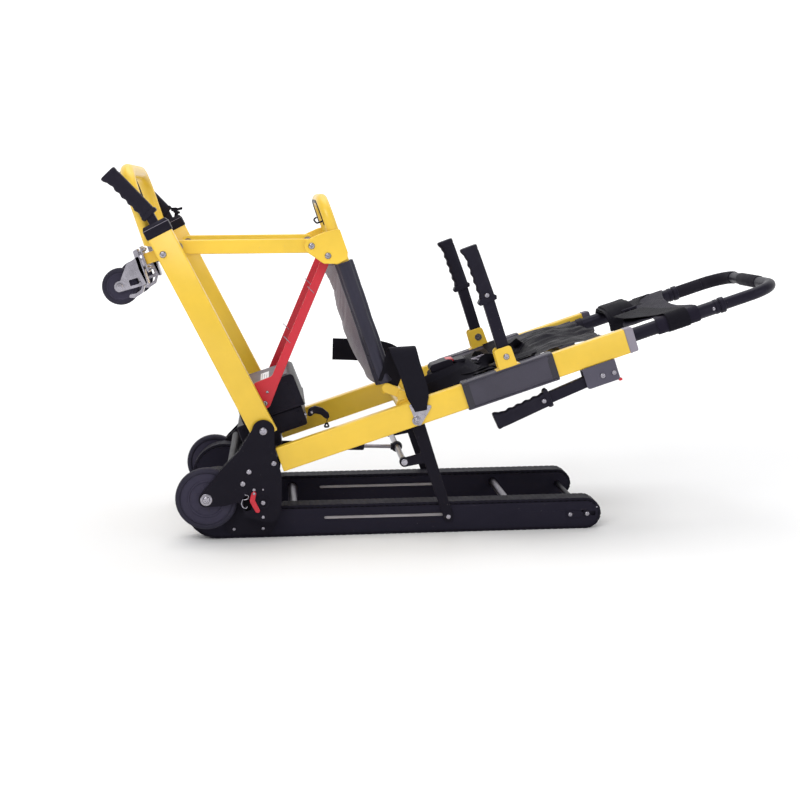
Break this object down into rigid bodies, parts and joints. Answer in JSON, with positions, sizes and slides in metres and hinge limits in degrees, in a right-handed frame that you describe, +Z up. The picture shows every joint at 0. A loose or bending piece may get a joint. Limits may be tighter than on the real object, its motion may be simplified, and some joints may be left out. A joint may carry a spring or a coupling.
{
  "type": "stair chair",
  "caption": "Evacuation chair with folding seat and caster frame, telescopic carrying handles and a pair of powered crawler tracks for going down and up stairs.",
  "frame": {"origin": "centre of the overall length and width, on the floor under the two track belts", "axes": "+X along the tracks towards the upper handle and the folding nose of the tracks, +Y to the right side of the chair, +Z up"},
  "size_m": [1.37, 0.4486, 0.7474],
  "materials": {
    "yellow_paint": "gloss powder coat",
    "black_paint": "satin powder coat",
    "red_paint": "gloss powder coat",
    "zinc": "zinc plated",
    "rubber": "matte",
    "tyre": "matte",
    "grey_vinyl": "coated cloth",
    "webbing": "woven belt",
    "grey_plastic": "moulded",
    "black_plastic": "moulded"
  },
  "bodies": {
    "main_frame": {"back_tube_l": "yellow_paint", "back_tube_r": "yellow_paint", "tube_end_cap_l": "grey_plastic", "tube_end_cap_r": "grey_plastic", "outer_plate_l": "black_paint", "outer_plate_r": "black_paint", "inner_chassis": "black_paint", "hinge_crossbar": "yellow_paint", "upper_crossbar": "yellow_paint", "battery_pack": "black_plastic", "drive_housing": "black_plastic", "backrest_sling": "grey_vinyl", "head_panel": "grey_vinyl", "handle_sleeve_l": "black_paint", "handle_sleeve_r": "black_paint", "side_handle_bracket_l": "yellow_paint", "side_handle_bracket_r": "yellow_paint", "rear_handle_bracket_l": "black_paint", "rear_handle_bracket_r": "black_paint", "lap_belt_l": "webbing", "lap_belt_r": "webbing", "torso_belt": "webbing"},
    "main_wheel_l": {"main_wheel_l": "tyre"},
    "main_wheel_r": {"main_wheel_r": "tyre"},
    "upper_handle": {"upper_handle": "black_paint"},
    "side_handle_l": {"side_handle_arm_l": "black_paint", "side_handle_grip_l": "rubber"},
    "side_handle_r": {"side_handle_arm_r": "black_paint", "side_handle_grip_r": "rubber"},
    "rear_handle_l": {"rear_handle_l": "rubber"},
    "rear_handle_r": {"rear_handle_r": "rubber"},
    "base_frame": {"base_tube_l": "yellow_paint", "base_tube_r": "yellow_paint", "base_collar_l": "black_plastic", "base_collar_r": "black_plastic", "foot_hoop": "yellow_paint", "caster_crossbar": "yellow_paint"},
    "foot_handle_l": {"foot_handle_l": "rubber"},
    "foot_handle_r": {"foot_handle_r": "rubber"},
    "caster_fork_l": {"caster_fork_l": "zinc"},
    "caster_fork_r": {"caster_fork_r": "zinc"},
    "caster_wheel_l": {"caster_wheel_l": "tyre"},
    "caster_wheel_r": {"caster_wheel_r": "tyre"},
    "seat": {"seat_frame": "yellow_paint", "seat_sling": "grey_vinyl"},
    "seat_link_l": {"seat_link_l": "yellow_paint"},
    "seat_link_r": {"seat_link_r": "yellow_paint"},
    "seat_brace_l": {"seat_brace_l": "red_paint"},
    "seat_brace_r": {"seat_brace_r": "red_paint"},
    "tracks": {"track_carriage": "black_paint", "track_belt_l": "rubber", "track_belt_r": "rubber"},
    "drive_sprockets": {"drive_sprockets": "black_plastic"},
    "front_idlers": {"front_idlers": "black_plastic"},
    "track_arm_l": {"track_arm_l": "black_paint"},
    "track_arm_r": {"track_arm_r": "black_paint"},
    "gas_cylinder": {"gas_spring_cylinder": "black_paint"},
    "gas_rod": {"gas_spring_rod": "zinc"},
    "release_lever": {"release_lever": "red_paint"},
    "pull_lever": {"pull_lever": "black_plastic"}
  },
  "joints": [
    {"name": "base_fold", "type": "hinge", "parent": "main_frame", "child": "base_frame", "pos_m": [-0.3752, 0, 0.223], "axis": [0, 1, 0], "range_deg": [0, 62]},
    {"name": "seat_fold", "type": "hinge", "parent": "main_frame", "child": "seat", "pos_m": [-0.0977, 0, 0.2862], "axis": [0, 1, 0], "range_deg": [0, 72]},
    {"name": "seat_link_pivot_l", "type": "hinge", "parent": "base_frame", "child": "seat_link_l", "pos_m": [-0.5342, -0.1726, 0.5846], "axis": [0, 1, 0], "range_deg": [-65.5, 0]},
    {"name": "seat_link_pivot_r", "type": "hinge", "parent": "base_frame", "child": "seat_link_r", "pos_m": [-0.5342, 0.1726, 0.5846], "axis": [0, 1, 0], "range_deg": [-65.5, 0]},
    {"name": "seat_brace_pivot_l", "type": "hinge", "parent": "seat", "child": "seat_brace_l", "pos_m": [-0.2411, -0.149, 0.5646], "axis": [0, 1, 0], "range_deg": [-23, 0]},
    {"name": "seat_brace_pivot_r", "type": "hinge", "parent": "seat", "child": "seat_brace_r", "pos_m": [-0.2411, 0.149, 0.5646], "axis": [0, 1, 0], "range_deg": [-23, 0]},
    {"name": "track_fold", "type": "hinge", "parent": "main_frame", "child": "tracks", "pos_m": [-0.3787, 0, 0.0794], "axis": [0, 1, 0], "range_deg": [-17.8, 0]},
    {"name": "track_arm_pivot_l", "type": "hinge", "parent": "main_frame", "child": "track_arm_l", "pos_m": [-0.0679, -0.1875, 0.232], "axis": [0, 1, 0], "range_deg": [0, 62.3]},
    {"name": "track_arm_pivot_r", "type": "hinge", "parent": "main_frame", "child": "track_arm_r", "pos_m": [-0.0679, 0.1875, 0.232], "axis": [0, 1, 0], "range_deg": [0, 62.3]},
    {"name": "gas_pivot", "type": "hinge", "parent": "main_frame", "child": "gas_cylinder", "pos_m": [-0.3558, 0, 0.1583], "axis": [0, 1, 0], "range_deg": [-18.3, 0]},
    {"name": "gas_slide", "type": "slide", "parent": "gas_cylinder", "child": "gas_rod", "axis": [0.9993, 0, -0.0382], "range_m": [-0.0525, 0]},
    {"name": "sprocket_spin", "type": "hinge", "parent": "tracks", "child": "drive_sprockets", "pos_m": [-0.4672, 0, 0.07], "axis": [0, 1, 0], "continuous": true},
    {"name": "idler_spin", "type": "hinge", "parent": "tracks", "child": "front_idlers", "pos_m": [0.2788, 0, 0.032], "axis": [0, 1, 0], "continuous": true},
    {"name": "upper_handle_slide", "type": "slide", "parent": "main_frame", "child": "upper_handle", "axis": [0.9521, 0, 0.3057], "range_m": [-0.05, 0.15]},
    {"name": "foot_handle_slide_l", "type": "slide", "parent": "base_frame", "child": "foot_handle_l", "axis": [-0.4407, 0, 0.8976], "range_m": [0, 0.15]},
    {"name": "foot_handle_slide_r", "type": "slide", "parent": "base_frame", "child": "foot_handle_r", "axis": [-0.4407, 0, 0.8976], "range_m": [0, 0.15]},
    {"name": "caster_swivel_l", "type": "hinge", "parent": "base_frame", "child": "caster_fork_l", "pos_m": [-0.60547, -0.16, 0.5598], "axis": [-0.9563, 0, -0.2924], "continuous": true},
    {"name": "caster_spin_l", "type": "hinge", "parent": "caster_fork_l", "child": "caster_wheel_l", "pos_m": [-0.6485, -0.16, 0.509], "axis": [0, 1, 0], "continuous": true},
    {"name": "caster_swivel_r", "type": "hinge", "parent": "base_frame", "child": "caster_fork_r", "pos_m": [-0.60547, 0.16, 0.5598], "axis": [-0.9563, 0, -0.2924], "continuous": true},
    {"name": "caster_spin_r", "type": "hinge", "parent": "caster_fork_r", "child": "caster_wheel_r", "pos_m": [-0.6485, 0.16, 0.509], "axis": [0, 1, 0], "continuous": true},
    {"name": "main_wheel_spin_l", "type": "hinge", "parent": "main_frame", "child": "main_wheel_l", "pos_m": [-0.4906, -0.2026, 0.0882], "axis": [0, 1, 0], "continuous": true},
    {"name": "main_wheel_spin_r", "type": "hinge", "parent": "main_frame", "child": "main_wheel_r", "pos_m": [-0.4906, 0.2026, 0.0882], "axis": [0, 1, 0], "continuous": true},
    {"name": "side_handle_fold_l", "type": "hinge", "parent": "main_frame", "child": "side_handle_l", "pos_m": [0.1086, -0.2025, 0.3619], "axis": [0, 1, 0], "range_deg": [0, 89]},
    {"name": "side_handle_fold_r", "type": "hinge", "parent": "main_frame", "child": "side_handle_r", "pos_m": [0.1086, 0.2025, 0.3619], "axis": [0, 1, 0], "range_deg": [0, 89]},
    {"name": "rear_handle_fold_l", "type": "hinge", "parent": "main_frame", "child": "rear_handle_l", "pos_m": [0.3035, -0.2025, 0.32], "axis": [0, 1, 0], "range_deg": [-85, 0]},
    {"name": "rear_handle_fold_r", "type": "hinge", "parent": "main_frame", "child": "rear_handle_r", "pos_m": [0.3035, 0.2025, 0.32], "axis": [0, 1, 0], "range_deg": [-85, 0]},
    {"name": "release_press", "type": "hinge", "parent": "main_frame", "child": "release_lever", "pos_m": [-0.3962, -0.224, 0.1], "axis": [0, 1, 0], "range_deg": [0, 12], "stiffness_Nm_per_rad": 0.5},
    {"name": "battery_pull", "type": "hinge", "parent": "main_frame", "child": "pull_lever", "pos_m": [-0.2922, -0.098, 0.239], "axis": [0, 1, 0], "range_deg": [-12, 0], "stiffness_Nm_per_rad": 0.5}
  ],
  "couplings": [
    {"joint": "seat_fold", "follows": "base_fold", "ratio": 1.157},
    {"joint": "seat_link_pivot_l", "follows": "base_fold", "ratio": -1.05},
    {"joint": "seat_link_pivot_r", "follows": "base_fold", "ratio": -1.05},
    {"joint": "seat_brace_pivot_l", "follows": "base_fold", "ratio": -0.357},
    {"joint": "seat_brace_pivot_r", "follows": "base_fold", "ratio": -0.357},
    {"joint": "track_arm_pivot_l", "follows": "track_fold", "ratio": -3.5},
    {"joint": "track_arm_pivot_r", "follows": "track_fold", "ratio": -3.5},
    {"joint": "gas_pivot", "follows": "track_fold", "ratio": 1.022},
    {"joint": "gas_slide", "follows": "track_fold", "m_per_rad": 0.168},
    {"joint": "idler_spin", "follows": "sprocket_spin", "ratio": 2.5447}
  ]
}
